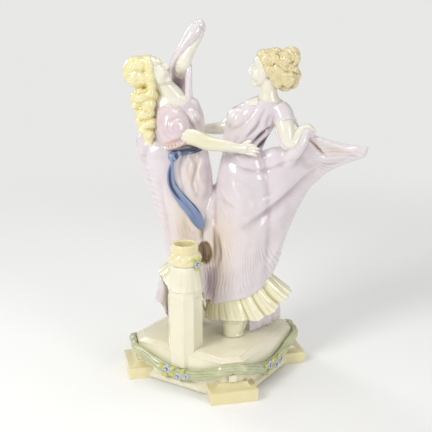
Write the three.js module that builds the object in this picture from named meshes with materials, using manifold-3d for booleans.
// Ceramic lamp base: two dancing women on a footed octagonal plinth, with a short octagonal pillar
// whose cup holds the lamp fitting. Each piece is one clay cast or pressing, as it is before the
// pieces are stuck together with slip and fired. Millimetres, +Z up, the pillar stands on the -Y side.
import * as THREE from 'three';
import { mergeVertices } from 'three/addons/utils/BufferGeometryUtils.js';
import Module from 'manifold-3d';

const wasm = await Module();
wasm.setup();

// Slip joint between two casts that touch
const SEAM = 0.4;

// Corners of a cut closer together than this become one
const MERGE_DISTANCE = 0.005;

// Plinth
const DECK_HALF = 82.5;
const DECK_CORNER_CUT = 20;
const DECK_TOP = 50;
const DECK_THICKNESS = 5;
const PLINTH_WALL = 7;
const PLINTH_TAPER = 0.8;
const PLINTH_FLOOR_GAP = 2;
const SKIRTING_OUT = 3.5;
const SKIRTING_TOP = 11;
const SKIRTING_BEVEL = 3;
const FLEX_HOLE_RADIUS = 4.5;
const FLEX_HOLE_HEIGHT = 38;

// Feet, measured out from the plinth's cut-off corners
const FOOT_OUT = 16;
const FOOT_HALF_WIDTH = 29.5;
const FOOT_PAD_HEIGHT = 14.9;
const FOOT_HEIGHT = 21.5;
const FOOT_COVE_IN = 12.5;

// Garland pegs, swags and their blossoms
const PEG_HALF_WIDTH = 5;
const PEG_DEPTH = 6.5;
const PEG_ABOVE_FOOT = 1.5;
const PEG_HEIGHT = 10;
const PEG_BOTTOM = FOOT_HEIGHT + PEG_ABOVE_FOOT;
const PEG_TOP = PEG_BOTTOM + PEG_HEIGHT;
const SWAG_HALF_DEPTH = 4.8;
const SWAG_HALF_HEIGHT = 6.6;
const SWAG_SAG = 20;
const BLOSSOM_RADIUS = 5;
const LEAF_LENGTH = 8;

// Pillar
const PILLAR_INSET = 15.5;
const PILLAR_HALF = 19.4;
const PILLAR_CORNER_CUT = 9.4;
const APRON_BOTTOM = 27;
const SHAFT_HEIGHT = 80;
const COLLAR_HEIGHT = 29;
const COLLAR_FLARE = 3.1;
const WREATH_HEIGHT = 13;
const WREATH_RADIUS = 20.5;
const CUP_HEIGHT = 14;
const CUP_RADIUS = 17.5;
const SOCKET_RADIUS = 12;
const SOCKET_DEPTH = 36;
const CABLE_RADIUS = 6;

// Dancers: they stand on the deck, in a line turned from the plinth's sides
const DANCE_TURN = THREE.MathUtils.degToRad(32.72);
const FOLD_COUNT = 9;
const FOLD_DEPTH = 0.045;
const PLEAT_COUNT = 22;
const PLEAT_DEPTH = 0.05;
const COLLAR_THICKNESS = 3;

// Glaze colours
const glaze = (color, roughness) => new THREE.MeshStandardMaterial({ color, roughness, metalness: 0 });
const CREAM = glaze(0xf0e8cd, 0.25);
const IVORY = glaze(0xe6dcb2, 0.28);
const LEAF_GREEN = glaze(0xbebe8c, 0.35);
const BLOSSOM_BLUE = glaze(0x7480b4, 0.3);
const LILAC = glaze(0xd8ccd0, 0.2);
const PINK = glaze(0xe1cdd0, 0.22);
const SKIN = glaze(0xebe6d2, 0.22);
const PALE_HAIR = glaze(0xf0e6af, 0.3);
const GOLD_HAIR = glaze(0xe1cd96, 0.3);
const SASH_BLUE = glaze(0x6e82aa, 0.22);

// Solids

function signedVolume(positions, faces) {
  let volume = 0;
  const corner = (i) => new THREE.Vector3().fromArray(positions, 3 * i);
  for (let f = 0; f < faces.length; f += 3) {
    const [a, b, c] = [corner(faces[f]), corner(faces[f + 1]), corner(faces[f + 2])];
    volume += a.dot(b.cross(c)) / 6;
  }
  return volume;
}

function solidFromArrays(positions, faces) {
  if (signedVolume(positions, faces) < 0) {
    for (let f = 0; f < faces.length; f += 3) [faces[f], faces[f + 1]] = [faces[f + 1], faces[f]];
  }
  const mesh = new wasm.Mesh({
    numProp: 3,
    vertProperties: new Float32Array(positions),
    triVerts: new Uint32Array(faces),
    tolerance: MERGE_DISTANCE,
  });
  return new wasm.Manifold(mesh);
}

// Skins a row of rings that all have the same even number of points, and closes both ends
function skin(rings) {
  const count = rings[0].length;
  const last = (rings.length - 1) * count;
  const positions = rings.flat().flatMap((p) => [p.x, p.y, p.z]);
  const faces = [];
  for (let start = 0; start < last; start += count) {
    for (let k = 0; k < count; k++) {
      const next = (k + 1) % count;
      faces.push(start + k, start + next, start + count + next);
      faces.push(start + k, start + count + next, start + count + k);
    }
  }
  for (let k = 0; k < count / 2 - 1; k++) {
    const across = count - 1 - k;
    const acrossNext = count - 2 - k;
    faces.push(k, across, acrossNext, k, acrossNext, k + 1);
    faces.push(last + k, last + acrossNext, last + across, last + k, last + k + 1, last + acrossNext);
  }
  return solidFromArrays(positions, faces);
}

function solidFromGeometry(geometry) {
  const bare = geometry.clone();
  bare.deleteAttribute('normal');
  bare.deleteAttribute('uv');
  const merged = mergeVertices(bare, 1e-4);
  return solidFromArrays(Array.from(merged.attributes.position.array), Array.from(merged.index.array));
}

function without(solid, ...cutters) {
  return cutters.reduce((left, cutter) => left.subtract(cutter), solid);
}

function joined(...solids) {
  return solids.reduce((sum, solid) => sum.add(solid));
}

// Cuts can leave slivers beside the piece: the cast is the largest body
function mainBody(solid) {
  const bodies = solid.decompose();
  return bodies.reduce((best, body) => (body.volume() > best.volume() ? body : best));
}

function meshOf(name, solid, material) {
  const { vertProperties, triVerts, numProp } = mainBody(solid).getMesh();
  const geometry = new THREE.BufferGeometry();
  geometry.setAttribute('position', new THREE.BufferAttribute(Float32Array.from(vertProperties), numProp));
  geometry.setIndex(Array.from(triVerts));
  geometry.computeVertexNormals();
  const mesh = new THREE.Mesh(geometry, material);
  mesh.name = name;
  return mesh;
}

// Shape builders

// Smooth value between the rows of a table, each column on its own curve
function between(rows, share) {
  const place = share * (rows.length - 1);
  const index = Math.min(Math.floor(place), rows.length - 2);
  const t = place - index;
  const row = (i) => rows[THREE.MathUtils.clamp(i, 0, rows.length - 1)];
  return rows[index].map((value, column) => {
    const [p0, p1, p2, p3] = [row(index - 1), row(index), row(index + 1), row(index + 2)].map((r) => r[column]);
    const bend = 2 * p0 - 5 * p1 + 4 * p2 - p3;
    return p1 + 0.5 * t * (p2 - p0 + t * (bend + t * (3 * p1 - p0 - 3 * p2 + p3)));
  });
}

// How strongly a pressed fold's line of x, z points takes hold of a place: 1 on the line, 0 well away
function holdOf({ line, width }, x, z) {
  const gaps = line.slice(1).map(([endX, endZ], i) => {
    const [startX, startZ] = line[i];
    const [runX, runZ] = [endX - startX, endZ - startZ];
    const along = ((x - startX) * runX + (z - startZ) * runZ) / (runX * runX + runZ * runZ);
    const t = THREE.MathUtils.clamp(along, 0, 1);
    return Math.hypot(x - startX - t * runX, z - startZ - t * runZ);
  });
  return Math.exp(-((Math.min(...gaps) / width) ** 2));
}

// A draped form. Each row of stations is left x, left z, right x, right z, front y, back y.
// Presses are folds pushed into its front or back, or pulled out of it where their depth is below 0.
function drape(stations, { sides = 24, rings = 12, fold = () => 0, presses = [], grow = 0 } = {}) {
  const sections = [];
  const rise = Math.sign(stations.at(-1)[1] - stations[0][1]) || 1;
  for (let i = 0; i <= rings; i++) {
    const share = i / rings;
    const [left, leftZ, right, rightZ, front, back] = between(stations, share);
    const endLift = rise * (i === 0 ? -grow : i === rings ? grow : 0);
    const section = [];
    for (let k = 0; k < sides; k++) {
      const angle = (2 * Math.PI * k) / sides;
      const swell = 1 + fold(angle, share);
      const x = (left + right) / 2 + ((right - left) / 2 + grow) * swell * Math.cos(angle);
      const y = (front + back) / 2 + ((back - front) / 2 + grow) * swell * Math.sin(angle);
      const z = (leftZ + rightZ) / 2 + ((rightZ - leftZ) / 2) * Math.cos(angle) + endLift;
      const face = Math.sign(Math.sin(angle));
      const pressed = presses.filter(({ side }) => side === face)
        .reduce((sum, press) => sum + press.depth * holdOf(press, x, z), 0);
      section.push(new THREE.Vector3(x, y - pressed * Math.sin(angle), z));
    }
    sections.push(section);
  }
  return skin(sections);
}

// A limb, lock or ribbon. Each row of stations is x, y, z, radius in the bend's plane, radius along upright.
function limb(stations, { sides = 10, rings = 10, grow = 0, upright = [0, 1, 0], rib = () => 0 } = {}) {
  const across = new THREE.Vector3(...upright);
  const sections = [];
  const at = (share) => new THREE.Vector3(...between(stations, THREE.MathUtils.clamp(share, 0, 1)));
  const nudge = 0.5 / rings;
  for (let i = 0; i <= rings; i++) {
    const share = i / rings;
    const [x, y, z, bendRadius, uprightRadius] = between(stations, share);
    const tangent = at(share + nudge).sub(at(share - nudge)).normalize();
    const deep = across.clone().addScaledVector(tangent, -across.dot(tangent)).normalize();
    const wide = new THREE.Vector3().crossVectors(tangent, deep);
    const endShift = i === 0 ? -grow : i === rings ? grow : 0;
    const section = [];
    for (let k = 0; k < sides; k++) {
      const angle = (2 * Math.PI * k) / sides;
      const swell = 1 + rib(angle, share);
      section.push(new THREE.Vector3(x, y, z)
        .addScaledVector(tangent, endShift)
        .addScaledVector(wide, (bendRadius * swell + grow) * Math.cos(angle))
        .addScaledVector(deep, (uprightRadius * swell + grow) * Math.sin(angle)));
    }
    sections.push(section);
  }
  return skin(sections);
}

// A hanging sheet of clay. Each row of stations is top x, y, z, then bottom x, y, z, then half thickness.
function sheet(stations, { spans = 5, rings = 8, billow = 0, grow = 0 } = {}) {
  const sections = [];
  for (let i = 0; i <= rings; i++) {
    const [tx, ty, tz, bx, by, bz, halfThickness] = between(stations, i / rings);
    const endShift = i === 0 ? -grow : i === rings ? grow : 0;
    const side = (face) => Array.from({ length: spans + 1 }, (_, k) => {
      const down = k / spans;
      const edge = k === 0 ? grow : k === spans ? -grow : 0;
      return new THREE.Vector3(
        THREE.MathUtils.lerp(tx, bx, down) + endShift,
        THREE.MathUtils.lerp(ty, by, down) + billow * Math.sin(Math.PI * down) + face * (halfThickness + grow),
        THREE.MathUtils.lerp(tz, bz, down) + edge,
      );
    });
    sections.push([...side(-1), ...side(1).reverse()]);
  }
  return skin(sections);
}

function ball([x, y, z], [rx, ry, rz], { lean = 0, grow = 0, sides = 10 } = {}) {
  const geometry = new THREE.SphereGeometry(1, sides, Math.round(sides * 0.7));
  geometry.rotateX(Math.PI / 2);
  geometry.scale(rx + grow, ry + grow, rz + grow);
  geometry.rotateY(THREE.MathUtils.degToRad(lean));
  geometry.translate(x, y, z);
  return solidFromGeometry(geometry);
}

function cluster(balls, { grow = 0, sides = 10 } = {}) {
  return joined(...balls.map(([x, y, z, rx, ry, rz, lean = 0]) => (
    ball([x, y, z], [rx, ry, rz], { lean, grow, sides })
  )));
}

// Round piece about the Z axis, from a closed profile of radius and height
function turned(profile, sides = 32) {
  const points = [...profile, profile[0]].map(([radius, height]) => new THREE.Vector2(radius, height));
  return solidFromGeometry(new THREE.LatheGeometry(points, sides).rotateX(Math.PI / 2));
}

function rod(radius, bottom, top, sides = 24) {
  return turned([[0, bottom], [radius, bottom], [radius, top], [0, top]], sides);
}

// Level octagon, a square with its corners cut off. Growing it moves each side out by the same step.
function octagon(half, cut, z, grow = 0) {
  const reach = half + grow;
  const inner = reach - cut - grow * (2 - Math.SQRT2);
  const corners = [[reach, -inner], [reach, inner], [inner, reach], [-inner, reach]];
  return [...corners, ...corners.map(([x, y]) => [-x, -y])].map(([x, y]) => new THREE.Vector3(x, y, z));
}

function turnedAbout(solid, degrees) {
  return solid.rotate([0, 0, degrees]);
}

// Plinth

const DECK_UNDERSIDE = DECK_TOP - DECK_THICKNESS;
const PILLAR_OFFSET = DECK_HALF - PILLAR_INSET;

function plinthBlock(grow = 0) {
  const rows = [
    [DECK_HALF + SKIRTING_OUT, PLINTH_FLOOR_GAP - grow],
    [DECK_HALF + SKIRTING_OUT, SKIRTING_TOP - SKIRTING_BEVEL],
    [DECK_HALF, SKIRTING_TOP],
    [DECK_HALF - PLINTH_TAPER, DECK_UNDERSIDE - SEAM + grow],
  ];
  return skin(rows.map(([half, z]) => octagon(half, DECK_CORNER_CUT, z, grow)));
}

function plinthBody() {
  const innerHalf = DECK_HALF - PLINTH_WALL;
  const hollow = skin([0, DECK_TOP].map((z) => octagon(innerHalf, DECK_CORNER_CUT, z)));
  const flexHole = solidFromGeometry(new THREE.CylinderGeometry(FLEX_HOLE_RADIUS, FLEX_HOLE_RADIUS, 4 * PLINTH_WALL, 16))
    .translate([0, DECK_HALF, FLEX_HOLE_HEIGHT]);
  return without(plinthBlock(), hollow, flexHole);
}

function deckBlock(grow = 0) {
  const edge = 1;
  const rows = [[DECK_HALF, DECK_UNDERSIDE - grow], [DECK_HALF, DECK_TOP - edge], [DECK_HALF - edge, DECK_TOP + grow]];
  return skin(rows.map(([half, z]) => octagon(half, DECK_CORNER_CUT, z, grow)));
}

function deck() {
  return without(deckBlock(), rod(CABLE_RADIUS, 0, DECK_TOP * 2).translate([0, -PILLAR_OFFSET, 0]));
}

const CUT_FACE_REACH = (2 * DECK_HALF - DECK_CORNER_CUT) / Math.SQRT2;

// A foot wraps one cut-off corner; it is drawn reaching out along +X and turned to its corner
function foot(cornerAngle) {
  const innerReach = DECK_HALF - PLINTH_WALL;
  const footReach = CUT_FACE_REACH + FOOT_OUT;
  const coveRise = FOOT_HEIGHT - FOOT_PAD_HEIGHT;
  const rows = [
    [footReach, FOOT_HALF_WIDTH, 0],
    [footReach, FOOT_HALF_WIDTH, FOOT_PAD_HEIGHT],
    [footReach - 0.25 * FOOT_COVE_IN, FOOT_HALF_WIDTH - 0.25 * FOOT_COVE_IN, FOOT_PAD_HEIGHT + 0.09 * coveRise],
    [footReach - 0.7 * FOOT_COVE_IN, FOOT_HALF_WIDTH - 0.6 * FOOT_COVE_IN, FOOT_PAD_HEIGHT + 0.39 * coveRise],
    [footReach - FOOT_COVE_IN, FOOT_HALF_WIDTH - 0.8 * FOOT_COVE_IN, FOOT_HEIGHT],
  ];
  const rings = rows.map(([reach, half, z]) => [
    [innerReach, -half], [reach, -half], [reach, half], [innerReach, half],
  ].map(([x, y]) => new THREE.Vector3(x, y, z)));
  const block = turnedAbout(skin(rings), cornerAngle);
  const cavity = skin([-1, DECK_TOP].map((z) => octagon(DECK_HALF - PLINTH_WALL / 2, DECK_CORNER_CUT, z)));
  return without(block, plinthBlock(SEAM), cavity);
}

function peg(cornerAngle, grow = 0) {
  const inner = CUT_FACE_REACH - PLINTH_TAPER;
  const outer = CUT_FACE_REACH + PEG_DEPTH + grow;
  const bevel = 1.5;
  const section = (reach, inset) => [
    [reach, -PEG_HALF_WIDTH + inset - grow, PEG_BOTTOM + inset - grow],
    [reach, PEG_HALF_WIDTH - inset + grow, PEG_BOTTOM + inset - grow],
    [reach, PEG_HALF_WIDTH - inset + grow, PEG_TOP - inset + grow],
    [reach, -PEG_HALF_WIDTH + inset - grow, PEG_TOP - inset + grow],
  ].map((p) => new THREE.Vector3(...p));
  const block = skin([section(inner, 0), section(outer - bevel, 0), section(outer, bevel)]);
  return without(turnedAbout(block, cornerAngle), plinthBlock(SEAM));
}

// A swag hangs from one cut-off corner to the next, drawn on the +X side and turned to its own side
const SWAG_CLEAR = SWAG_HALF_DEPTH + SEAM;
const SWAG_END_Z = PEG_TOP + SEAM + SWAG_HALF_HEIGHT;

function swagRoute() {
  const cornerInner = DECK_HALF - DECK_CORNER_CUT;
  const cutMiddle = DECK_HALF - DECK_CORNER_CUT / 2 + SWAG_CLEAR / Math.SQRT2;
  const endGap = 2 * SEAM;
  const cornerOut = cornerInner + SWAG_CLEAR * Math.tan(Math.PI / 8);
  const half = [
    [cutMiddle + endGap, cutMiddle - endGap, SWAG_END_Z],
    [DECK_HALF + SWAG_CLEAR, cornerOut, SWAG_END_Z - 0.08 * SWAG_SAG],
    [DECK_HALF + SWAG_CLEAR, 0.6 * cornerInner, SWAG_END_Z - 0.62 * SWAG_SAG],
    [DECK_HALF + SWAG_CLEAR, 0.25 * cornerInner, SWAG_END_Z - 0.94 * SWAG_SAG],
  ];
  const middle = [DECK_HALF + SWAG_CLEAR, 0, SWAG_END_Z - SWAG_SAG];
  const mirrored = half.map(([x, y, z]) => [x, -y, z]).reverse();
  return [...half, middle, ...mirrored];
}

function swagRope(grow = 0) {
  const taper = [0.7, 0.85, 0.95, 1, 1, 1, 0.95, 0.85, 0.7];
  const stations = swagRoute().map(([x, y, z], i) => [
    x, y, z, taper[i] * SWAG_HALF_DEPTH, taper[i] * SWAG_HALF_HEIGHT,
  ]);
  const twist = (angle, share) => 0.07 * Math.cos(3 * angle + 2 * Math.PI * 6 * share);
  return limb(stations, { sides: 8, rings: 20, grow, upright: [0, 0, 1], rib: twist });
}

function swag(sideAngle) {
  const pegs = [peg(sideAngle - 45, SEAM), peg(sideAngle + 45, SEAM)];
  return without(turnedAbout(swagRope(), sideAngle), plinthBlock(SEAM), deckBlock(SEAM), shaftBlock(SEAM), ...pegs);
}

// Three blossoms among pointed leaves, pressed onto the middle of a swag
function swagBlossoms(sideAngle) {
  const face = DECK_HALF + 2 * SWAG_CLEAR;
  const middleZ = SWAG_END_Z - SWAG_SAG;
  const blooms = [[-12, 4], [5, -2], [17, 1]].map(([y, rise], i) => {
    const radius = BLOSSOM_RADIUS * (1 - 0.12 * i);
    return [face, y, middleZ + rise, 3.4, radius, radius];
  });
  const leaves = [[-19, 5], [-5, 7], [-15, -3], [11, 6]].map(([y, rise]) => [
    face - 0.8, y, middleZ + rise, 2.6, LEAF_LENGTH * 0.8, 4.2,
  ]);
  const sprig = cluster([...leaves, ...blooms], { sides: 6 });
  const rope = turnedAbout(swagRope(SEAM), sideAngle);
  return without(turnedAbout(sprig, sideAngle), rope, plinthBlock(SEAM), shaftBlock(SEAM));
}

// Pillar, drawn about its own axis and moved to its place

const SHAFT_TOP = DECK_TOP + SHAFT_HEIGHT;
const COLLAR_TOP = SHAFT_TOP + COLLAR_HEIGHT;
const WREATH_TOP = COLLAR_TOP + WREATH_HEIGHT;
const MOUTH_Z = WREATH_TOP + CUP_HEIGHT;

function onPillarAxis(solid) {
  return solid.translate([0, -PILLAR_OFFSET, 0]);
}

function shaftBlock(grow = 0) {
  const ends = [APRON_BOTTOM - grow, SHAFT_TOP - SEAM + grow];
  return onPillarAxis(skin(ends.map((z) => octagon(PILLAR_HALF, PILLAR_CORNER_CUT, z, grow))));
}

function cableBore(top) {
  return onPillarAxis(rod(CABLE_RADIUS, 0, top));
}

function socketBore() {
  return onPillarAxis(rod(SOCKET_RADIUS, MOUTH_Z - SOCKET_DEPTH, MOUTH_Z + 1, 32));
}

function pillarShaft() {
  return without(shaftBlock(), plinthBlock(SEAM), deckBlock(SEAM), cableBore(MOUTH_Z));
}

// Eight leaves hang over the shaft's top; even points are leaf ribs, odd points the gaps between
function pillarCollar() {
  const leafTip = PILLAR_HALF + COLLAR_FLARE;
  const rows = [
    { leaf: [leafTip - 0.8, -4], gap: [PILLAR_HALF, 3] },
    { leaf: [leafTip, -1], gap: [PILLAR_HALF + 0.4, 5] },
    { leaf: [leafTip - 1.6, 8], gap: [PILLAR_HALF - 0.6, 11] },
    { leaf: [PILLAR_HALF - 0.8, 20], gap: [PILLAR_HALF - 1.8, 21] },
    { leaf: [CUP_RADIUS + 0.6, COLLAR_HEIGHT - SEAM], gap: [CUP_RADIUS + 0.2, COLLAR_HEIGHT - SEAM] },
  ];
  const rings = rows.map(({ leaf, gap }) => Array.from({ length: 16 }, (_, k) => {
    const [radius, rise] = k % 2 === 0 ? leaf : gap;
    const angle = (Math.PI * k) / 8;
    return new THREE.Vector3(radius * Math.cos(angle), radius * Math.sin(angle), SHAFT_TOP + rise);
  }));
  return without(onPillarAxis(skin(rings)), shaftBlock(SEAM), cableBore(MOUTH_Z), socketBore());
}

function wreathRing(grow = 0) {
  const half = WREATH_HEIGHT / 2;
  const middle = COLLAR_TOP + half;
  const profile = [
    [SOCKET_RADIUS - 1, COLLAR_TOP - grow],
    [WREATH_RADIUS - 2.5 + grow, COLLAR_TOP - grow],
    [WREATH_RADIUS - 0.4 + grow, middle - 0.5 * half],
    [WREATH_RADIUS + grow, middle],
    [WREATH_RADIUS - 0.6 + grow, middle + 0.5 * half],
    [CUP_RADIUS + 0.3 + grow, WREATH_TOP - SEAM + grow],
    [SOCKET_RADIUS - 1, WREATH_TOP - SEAM + grow],
  ];
  return onPillarAxis(turned(profile));
}

function pillarWreath() {
  return without(wreathRing(), socketBore());
}

function pillarCup() {
  const lip = 1.2;
  const profile = [
    [SOCKET_RADIUS, WREATH_TOP],
    [CUP_RADIUS, WREATH_TOP],
    [CUP_RADIUS, MOUTH_Z - lip],
    [CUP_RADIUS - lip, MOUTH_Z],
    [SOCKET_RADIUS, MOUTH_Z],
  ];
  return onPillarAxis(turned(profile));
}

function pillarBlossom() {
  const facing = -11;
  const reach = WREATH_RADIUS + 0.6;
  const middle = COLLAR_TOP + WREATH_HEIGHT / 2;
  const sprig = cluster([
    [reach, 0, middle - 2, 2.8, 4.6, 4.6],
    [reach - 0.4, -5, middle + 3, 2.4, 5, 3.2],
    [reach - 0.4, 5, middle + 2.5, 2.4, 4.6, 3.2],
    [reach - 0.2, 1, middle - 8.5, 2.4, 3.2, 5],
  ], { sides: 6 });
  const placed = onPillarAxis(turnedAbout(sprig, facing));
  const collarTop = onPillarAxis(rod(PILLAR_HALF + SEAM, SHAFT_TOP, COLLAR_TOP, 32));
  return without(placed, wreathRing(SEAM), collarTop);
}

// Everything of the pillar that a dress could touch, in the dancers' own turned frame
function pillarEnvelope() {
  const envelope = onPillarAxis(rod(PILLAR_HALF + COLLAR_FLARE + 2 * SEAM, -DECK_TOP, MOUTH_Z, 16));
  return turnedAbout(envelope, -THREE.MathUtils.radToDeg(DANCE_TURN)).translate([0, 0, -DECK_TOP]);
}

// The deck that the trains and feet stand on, in the dancers' frame
function deckEnvelope() {
  return skin([-DECK_THICKNESS, SEAM].map((z) => octagon(2 * DECK_HALF, 0.5 * DECK_HALF, z)));
}

// Dancers. X runs along their line, Y away from the viewer, Z up from the deck's top.

const folds = (angle, share) => FOLD_DEPTH * Math.cos(FOLD_COUNT * angle + 3 * share) * (1 - 0.7 * share);
const pleats = (angle, share) => PLEAT_DEPTH * Math.cos(PLEAT_COUNT * angle) * share;
const FLOOR_CONTACT = SEAM;

// Right dancer, seen from her left side, turning her head along the line

const RIGHT_SKIRT = [
  [-12, 34, 74, 77, -31, 33],
  [-11, 58, 76, 95, -32, 34],
  [-9, 110, 80, 130, -34, 36],
  [-5, 155, 82, 165, -33, 35],
  [0, 190, 80, 195, -31, 33],
  [5, 218, 74, 220, -28, 28],
  [10, 238, 62, 241, -19, 19],
];
const [FRONT, BACK] = [-1, 1];
const RIGHT_FOLDS = [
  { side: FRONT, width: 13, depth: 3.4, line: [[29, 148], [60, 166], [94, 193], [130, 221]] },
  { side: FRONT, width: 9, depth: -2.2, line: [[54, 174], [77, 187], [109, 215]] },
  { side: FRONT, width: 16, depth: -3.6, line: [[20, 176], [26, 190], [34, 206]] },
  { side: FRONT, width: 8, depth: 2.6, line: [[61, 114], [73, 130], [102, 176]] },
  { side: BACK, width: 8, depth: 5, line: [[110, 244], [96, 200], [72, 120], [64, 70]] },
  { side: BACK, width: 8, depth: 4.6, line: [[88, 236], [60, 170], [36, 100], [28, 52]] },
  { side: BACK, width: 8, depth: 4, line: [[64, 238], [30, 180], [8, 110], [2, 60]] },
  { side: BACK, width: 8, depth: 3, line: [[26, 230], [8, 190], [-4, 130]] },
];
const RIGHT_RUFFLE = [
  [-8, 33, 70, 76, -27, 29],
  [-11, 27, 82, 67, -33, 35],
  [-13, 17, 98, 50, -39, 41],
];
const RIGHT_BODICE = [
  [10, 236, 60, 239, -18, 18],
  [10, 250, 64, 250, -19, 19],
  [11, 262, 72, 264, -20, 20],
  [15, 280, 82, 282, -20, 21],
  [22, 292, 90, 294, -18, 20],
  [38, 302, 86, 302, -14, 16],
  [52, 308, 80, 306, -9, 11],
];
const RIGHT_BUST = [
  [29, -8, 282, 14, 12, 14],
  [29, 9, 282, 14, 12, 14],
  [85, -5, 287, 12, 13, 13],
];
const RIGHT_NECK = [
  [68, 2, 298, 14, 13],
  [66, 2, 313, 11.5, 11],
  [65, 1, 326, 11.5, 11],
];
const RIGHT_HEAD = [
  [66, 1, 341, 18, 15.5, 20],
  [56, 1, 334, 12, 10.5, 12],
  [46, 1, 337, 4, 2.6, 4.5],
];
const RIGHT_HAIR = [
  [82, 2, 346, 23, 20, 21],
  [64, 1, 359, 11, 15, 9],
  [78, 2, 363, 12, 15, 9],
  [93, 2, 363, 10, 12, 9],
  [99, 3, 352, 9, 12, 9],
  [100, 2, 338, 9, 12, 9],
  [92, 1, 326, 10, 12, 9],
];
const RIGHT_NEAR_ARM = [
  [86, -6, 292, 12, 11],
  [92, -14, 277, 12, 11.5],
  [94, -24, 256, 9.5, 9.5],
  [100, -24, 258, 8, 8],
  [108, -18, 268, 6.5, 6.5],
  [116, -12, 271, 8, 5.5],
  [126, -7, 265, 4.5, 3.5],
];
const RIGHT_FAR_ARM = [
  [40, 14, 288, 11, 10],
  [26, 20, 276, 10, 9],
  [12, 22, 266, 8.5, 8],
  [-8, 22, 264, 7, 6.5],
  [-26, 21, 268, 7, 4.5],
];
const WING = [
  [60, -4, 242, 58, 0, 60, 9],
  [84, -9, 247, 80, -2, 84, 8],
  [104, -11, 263, 98, 0, 138, 8],
  [126, -9, 263, 120, 3, 186, 7],
  [152, -5, 255, 146, 3, 212, 6],
  [175, -2, 249, 171, 1, 224, 5],
  [192, 0, 246, 188, 0, 230, 4],
];
const WING_TROUGH = [
  [112, -6, 275, 112, -3, 224, 1.6],
  [140, -4, 268, 138, -2, 218, 2.2],
  [166, -2, 262, 164, 0, 224, 2],
  [186, 0, 256, 185, 0, 236, 1.2],
];
const RIGHT_FOOT = [
  [12, FLOOR_CONTACT, 37, FLOOR_CONTACT, -35, -13],
  [11, 10, 38, 10, -35, -12],
  [9, 40, 44, 40, -34, -6],
];
const RIGHT_TRAIN = [
  [44, -6, 44, 46, -16, FLOOR_CONTACT, 4],
  [60, -2, 48, 60, -5, FLOOR_CONTACT, 5],
  [74, 12, 54, 76, 13, FLOOR_CONTACT, 5],
  [88, 28, 58, 91, 33, FLOOR_CONTACT, 4],
];

const skirtShape = (stations, presses) => (grow = 0) => drape(stations, {
  sides: 44, rings: 14, fold: folds, presses, grow,
});
const rightSkirtOuter = skirtShape(RIGHT_SKIRT, RIGHT_FOLDS);
const rightRuffleOuter = (grow = 0) => drape(RIGHT_RUFFLE, { sides: 2 * PLEAT_COUNT, rings: 2, fold: pleats, grow });
const rightBodiceOuter = (grow = 0) => joined(
  drape(RIGHT_BODICE, { sides: 18, rings: 8, grow }),
  cluster(RIGHT_BUST, { grow }),
);
const rightNeckOuter = (grow = 0) => limb(RIGHT_NECK, { rings: 4, grow });
const rightHeadOuter = (grow = 0) => joined(rightNeckOuter(grow), cluster(RIGHT_HEAD, { grow }));
const rightNearArmOuter = (grow = 0) => limb(RIGHT_NEAR_ARM, { rings: 14, grow });
const rightFarArmOuter = (grow = 0) => limb(RIGHT_FAR_ARM, { rings: 10, grow });
const rightFootOuter = (grow = 0) => drape(RIGHT_FOOT, { sides: 12, rings: 5, grow });
const wingOuter = (grow = 0) => sheet(WING, { spans: 6, rings: 12, billow: -3, grow });

function rightSkirt() {
  return rightSkirtOuter();
}

function rightRuffle() {
  return without(rightRuffleOuter(), rightSkirtOuter(SEAM), pillarEnvelope());
}

function rightBodice() {
  return without(rightBodiceOuter(), rightSkirtOuter(SEAM));
}

function rightHead() {
  return without(rightHeadOuter(), rightBodiceOuter(SEAM));
}

function rightHair() {
  return without(cluster(RIGHT_HAIR), rightHeadOuter(SEAM), rightBodiceOuter(SEAM));
}

// The lace collar lies over the bodice's top stations
function rightCollar() {
  const flounce = drape(RIGHT_BODICE.slice(-2), { sides: 18, rings: 2, grow: COLLAR_THICKNESS + SEAM });
  const neighbours = [rightBodiceOuter, rightNeckOuter, rightNearArmOuter, rightFarArmOuter];
  return without(flounce, ...neighbours.map((outer) => outer(SEAM)));
}

function rightNearArm() {
  return without(rightNearArmOuter(), rightBodiceOuter(SEAM), rightSkirtOuter(SEAM));
}

function rightWing() {
  const trough = sheet(WING_TROUGH, { spans: 4, rings: 8 });
  const neighbours = [rightSkirtOuter, rightRuffleOuter, rightNearArmOuter, rightBodiceOuter];
  return without(wingOuter(), trough, ...neighbours.map((outer) => outer(SEAM)));
}

function rightFarArm() {
  return without(rightFarArmOuter(), rightBodiceOuter(SEAM), leftTorsoOuter(SEAM));
}

function rightFoot() {
  return without(rightFootOuter(), rightRuffleOuter(SEAM), rightSkirtOuter(SEAM), pillarEnvelope());
}

function rightTrain() {
  const cloth = sheet(RIGHT_TRAIN, { spans: 4, rings: 10, billow: 3 });
  return without(cloth, rightRuffleOuter(SEAM), rightSkirtOuter(SEAM), rightFootOuter(SEAM), deckEnvelope());
}

// Left dancer, leaning back with her head thrown back and her far arm raised

const LEFT_SKIRT = [
  [-62, 88, -4, 46, -26, 24],
  [-63, 110, -2, 74, -28, 26],
  [-70, 149, 0, 120, -29, 28],
  [-79, 179, -2, 160, -30, 29],
  [-87, 205, -2, 196, -31, 30],
  [-96, 232, -4, 223, -31, 29],
  [-99, 245, -7, 239, -29, 27],
  [-97, 256, -14, 246, -24, 23],
  [-91, 266, -34, 254, -12, 17],
];
const LEFT_FOLDS = [
  { side: FRONT, width: 8, depth: 2, line: [[-26, 246], [-20, 219], [-18, 183]] },
  { side: BACK, width: 7, depth: 4, line: [[-84, 240], [-72, 190], [-58, 120]] },
  { side: BACK, width: 7, depth: 4.2, line: [[-60, 250], [-52, 190], [-42, 110]] },
  { side: BACK, width: 7, depth: 4, line: [[-36, 246], [-30, 190], [-26, 100]] },
];
const LEFT_RUFFLE = [
  [-57, 86, -19, 50, -21, 19],
  [-63, 80, -16, 38, -25, 24],
  [-74, 72, -12, 25, -30, 31],
];
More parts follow.
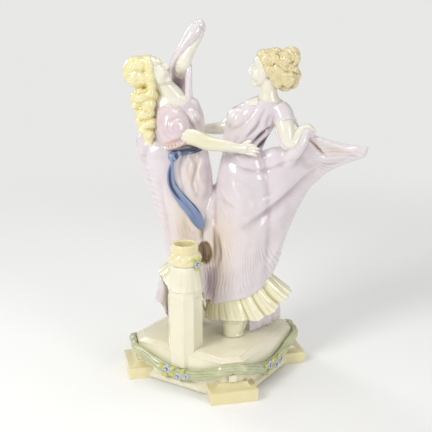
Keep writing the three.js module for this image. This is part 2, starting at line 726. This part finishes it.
const LEFT_TORSO = [
  [-76, 246, -16, 239, -20, 19],
  [-84, 262, -12, 257, -23, 22],
  [-82, 279, -11, 272, -22, 23],
  [-79, 294, -14, 289, -18, 23],
  [-75, 307, -22, 301, -13, 19],
  [-70, 316, -36, 311, -9, 13],
];
const LEFT_BUST = [
  [-31, -8, 283, 15, 12, 14],
  [-29, 9, 283, 15, 12, 14],
];
const LEFT_NECK = [
  [-50, 2, 303, 14, 12],
  [-57, 1, 317, 11.5, 10.5],
  [-64, -1, 331, 12, 10.5],
];
const LEFT_HEAD = [
  [-71, -2, 337, 17.5, 15, 20, -35],
  [-62, -2, 333, 11, 10, 13, -35],
  [-54, -2, 343, 4, 2.6, 4.5, -35],
];
const LEFT_HAIR = [
  [-92, -4, 338, 20, 18, 20],
  [-86, -3, 350, 18, 15, 10],
  [-70, -5, 353, 9, 9, 5],
  [-97, -6, 326, 13, 13, 14],
];
const LEFT_BRAID = [
  [-93, -8, 322, 13, 12],
  [-91, -11, 307, 12.5, 11.5],
  [-88, -13, 292, 12.5, 11],
  [-82, -15, 278, 13, 11],
  [-83, -17, 262, 8, 7],
  [-80, -18, 251, 3, 3],
];
const LEFT_SLEEVE = [
  [-60, -8, 300, 10, 10],
  [-56, -17, 291, 17, 13],
  [-50, -23, 277, 21, 16],
  [-46, -26, 262, 20, 14],
  [-44, -28, 253, 14, 10],
];
const LEFT_FOREARM = [
  [-46, -29, 262, 9.5, 8.5],
  [-28, -32, 264, 10.5, 9],
  [-7, -32, 255.5, 9.6, 8.5],
  [14, -32, 252, 7.6, 7],
  [28, -32, 249, 6.2, 6],
  [39, -29.5, 247, 7.6, 4.6],
  [53, -25, 244, 4.4, 2.8],
];
const LEFT_RAISED_ARM = [
  [-38, 10, 296, 10, 9],
  [-36, 8, 322, 9, 8],
  [-32, 6, 348, 8, 7],
  [-22, 5, 370, 6.5, 6],
  [-14, 6, 387, 5, 4.5],
];
const VEIL = [
  [-56, 292, -24, 292, 8, 24],
  [-57, 322, -27, 322, 10, 25],
  [-53, 347, -28, 347, 10, 24],
  [-44, 365, -21, 365, 9, 22],
  [-36, 381, -12, 381, 7, 19],
  [-29, 393, -11, 391, 7, 16],
  [-22, 400, -14, 400, 9, 14],
];
const SASH_BELT = [
  [-69, 237, -11, 236, -35, 22],
  [-68, 247, -11, 247, -28, 22],
];
const SASH_KNOT = [
  [-50, -34, 239, 7.5, 6, 7],
  [-45, -34, 243, 5, 4.5, 4],
];
const SASH_TAIL = [
  [-50, -35, 234, 5, 2.6],
  [-54, -34, 215, 6, 2.8],
  [-51, -33, 195, 7, 3],
  [-42, -32, 178, 7.5, 3],
  [-30, -29, 164, 8, 3.2],
  [-19, -24, 150, 8.5, 3.2],
  [-15, -22, 142, 7, 2.6],
];
const LEFT_FOOT = [
  [-52, FLOOR_CONTACT, -30, FLOOR_CONTACT, -20, 4],
  [-53, 14, -28, 14, -21, 6],
  [-56, 62, -24, 46, -20, 10],
];
const LEFT_TRAIN = [
  [-72, -2, 66, -79, -8, 32, 4],
  [-64, -6, 60, -68, -11, 28, 5],
  [-54, 14, 60, -58, 14, FLOOR_CONTACT, 5],
  [-42, 24, 50, -42, 28, FLOOR_CONTACT, 5],
  [-26, 24, 42, -24, 30, FLOOR_CONTACT, 4],
];

const leftSkirtOuter = skirtShape(LEFT_SKIRT, LEFT_FOLDS);
const leftRuffleOuter = (grow = 0) => drape(LEFT_RUFFLE, { sides: 2 * PLEAT_COUNT, rings: 2, fold: pleats, grow });
const leftTorsoOuter = (grow = 0) => joined(
  drape(LEFT_TORSO, { sides: 18, rings: 8, grow }),
  cluster(LEFT_BUST, { grow }),
);
const leftHeadOuter = (grow = 0) => joined(limb(LEFT_NECK, { rings: 4, grow }), cluster(LEFT_HEAD, { grow }));
const leftSleeveOuter = (grow = 0) => limb(LEFT_SLEEVE, { sides: 16, rings: 8, grow });
const leftForearmOuter = (grow = 0) => limb(LEFT_FOREARM, { rings: 14, grow });
const leftRaisedArmOuter = (grow = 0) => limb(LEFT_RAISED_ARM, { rings: 8, grow });
const leftFootOuter = (grow = 0) => drape(LEFT_FOOT, { sides: 12, rings: 5, grow });
const sashKnotOuter = (grow = 0) => cluster(SASH_KNOT, { grow });
const leftHairOuter = (grow = 0) => joined(cluster(LEFT_HAIR, { grow }), limb(LEFT_BRAID, {
  sides: 10,
  rings: 16,
  grow,
  rib: (angle, share) => 0.12 * Math.cos(2 * angle + 2 * Math.PI * 4 * share),
}));

function leftSkirt() {
  return without(leftSkirtOuter(), rightSkirtOuter(SEAM), pillarEnvelope());
}

function leftRuffle() {
  return without(leftRuffleOuter(), leftSkirtOuter(SEAM), rightSkirtOuter(SEAM), rightRuffleOuter(SEAM), pillarEnvelope());
}

function leftTorso() {
  return without(leftTorsoOuter(), leftSkirtOuter(SEAM));
}

function leftSleeve() {
  return without(leftSleeveOuter(), leftTorsoOuter(SEAM), leftSkirtOuter(SEAM));
}

function leftForearm() {
  const neighbours = [leftSleeveOuter, leftTorsoOuter, leftSkirtOuter, rightSkirtOuter, rightBodiceOuter];
  return without(leftForearmOuter(), ...neighbours.map((outer) => outer(SEAM)));
}

function leftHead() {
  return without(leftHeadOuter(), leftTorsoOuter(SEAM), leftSleeveOuter(SEAM));
}

function leftHair() {
  const neighbours = [leftHeadOuter, leftTorsoOuter, leftSleeveOuter, leftSkirtOuter];
  return without(leftHairOuter(), ...neighbours.map((outer) => outer(SEAM)));
}

function leftRaisedArm() {
  return without(leftRaisedArmOuter(), leftTorsoOuter(SEAM), leftHeadOuter(SEAM));
}

function veil() {
  const cloth = drape(VEIL, { sides: 14, rings: 9 });
  const neighbours = [leftRaisedArmOuter, leftTorsoOuter, leftHeadOuter, leftHairOuter, rightFarArmOuter];
  return without(cloth, ...neighbours.map((outer) => outer(SEAM)));
}

function sashBelt() {
  const band = drape(SASH_BELT, { sides: 28, rings: 2 });
  const neighbours = [leftTorsoOuter, leftSkirtOuter, leftForearmOuter, leftSleeveOuter, sashKnotOuter, rightFarArmOuter];
  return without(band, ...neighbours.map((outer) => outer(SEAM)));
}

function sashKnot() {
  return without(sashKnotOuter(), leftSkirtOuter(SEAM), leftTorsoOuter(SEAM), leftSleeveOuter(SEAM), leftForearmOuter(SEAM));
}

function sashTail() {
  const ribbon = limb(SASH_TAIL, { sides: 8, rings: 12 });
  return without(ribbon, leftSkirtOuter(SEAM), sashKnotOuter(SEAM), rightSkirtOuter(SEAM));
}

function leftFoot() {
  return without(leftFootOuter(), leftRuffleOuter(SEAM), leftSkirtOuter(SEAM), pillarEnvelope());
}

function leftTrain() {
  const cloth = sheet(LEFT_TRAIN, { spans: 4, rings: 12, billow: 2 });
  const neighbours = [leftRuffleOuter, leftSkirtOuter, leftFootOuter, rightRuffleOuter];
  return without(cloth, ...neighbours.map((outer) => outer(SEAM)), pillarEnvelope(), deckEnvelope());
}

// Assembly

const CORNERS = { front: -45, right: 45, rear: 135, left: -135 };
const SIDES = { pillar_side: -90, right_side: 0, rear_side: 90, left_side: 180 };

const plinth = new THREE.Group();
plinth.add(meshOf('plinth_body', plinthBody(), CREAM));
plinth.add(meshOf('plinth_deck', deck(), CREAM));
for (const [corner, angle] of Object.entries(CORNERS)) {
  plinth.add(meshOf(`foot_${corner}`, foot(angle), IVORY));
  plinth.add(meshOf(`garland_peg_${corner}`, peg(angle), CREAM));
}
for (const [side, angle] of Object.entries(SIDES)) {
  plinth.add(meshOf(`garland_${side}`, swag(angle), LEAF_GREEN));
  plinth.add(meshOf(`blossoms_${side}`, swagBlossoms(angle), BLOSSOM_BLUE));
}

const pillar = new THREE.Group();
pillar.add(meshOf('pillar_shaft', pillarShaft(), CREAM));
pillar.add(meshOf('pillar_leaf_collar', pillarCollar(), CREAM));
pillar.add(meshOf('pillar_wreath', pillarWreath(), IVORY));
pillar.add(meshOf('pillar_cup', pillarCup(), IVORY));
pillar.add(meshOf('pillar_blossom', pillarBlossom(), BLOSSOM_BLUE));

const dancers = new THREE.Group();
dancers.add(meshOf('right_skirt', rightSkirt(), LILAC));
dancers.add(meshOf('right_skirt_wing', rightWing(), LILAC));
dancers.add(meshOf('right_ruffle', rightRuffle(), CREAM));
dancers.add(meshOf('right_train', rightTrain(), LILAC));
dancers.add(meshOf('right_foot', rightFoot(), CREAM));
dancers.add(meshOf('right_bodice', rightBodice(), LILAC));
dancers.add(meshOf('right_collar', rightCollar(), CREAM));
dancers.add(meshOf('right_head', rightHead(), SKIN));
dancers.add(meshOf('right_hair', rightHair(), GOLD_HAIR));
dancers.add(meshOf('right_near_arm', rightNearArm(), SKIN));
dancers.add(meshOf('right_far_arm', rightFarArm(), SKIN));
dancers.add(meshOf('left_skirt', leftSkirt(), LILAC));
dancers.add(meshOf('left_ruffle', leftRuffle(), CREAM));
dancers.add(meshOf('left_train', leftTrain(), LILAC));
dancers.add(meshOf('left_foot', leftFoot(), CREAM));
dancers.add(meshOf('left_torso', leftTorso(), SKIN));
dancers.add(meshOf('left_sleeve', leftSleeve(), PINK));
dancers.add(meshOf('left_forearm', leftForearm(), SKIN));
dancers.add(meshOf('left_raised_arm', leftRaisedArm(), SKIN));
dancers.add(meshOf('left_veil', veil(), LILAC));
dancers.add(meshOf('left_head', leftHead(), SKIN));
dancers.add(meshOf('left_hair', leftHair(), PALE_HAIR));
dancers.add(meshOf('sash_belt', sashBelt(), SASH_BLUE));
dancers.add(meshOf('sash_knot', sashKnot(), SASH_BLUE));
dancers.add(meshOf('sash_tail', sashTail(), SASH_BLUE));
dancers.position.z = DECK_TOP;
dancers.rotation.z = DANCE_TURN;

// The origin is under the middle of the whole piece's outline, on the surface it stands on
const lampBase = new THREE.Group();
lampBase.name = 'ceramic_lamp_base';
lampBase.add(plinth, pillar, dancers);
lampBase.updateMatrixWorld(true);
const outline = new THREE.Box3().setFromObject(lampBase, true);
const middle = outline.getCenter(new THREE.Vector3());
lampBase.position.set(-middle.x, -middle.y, -outline.min.z);

export default lampBase;
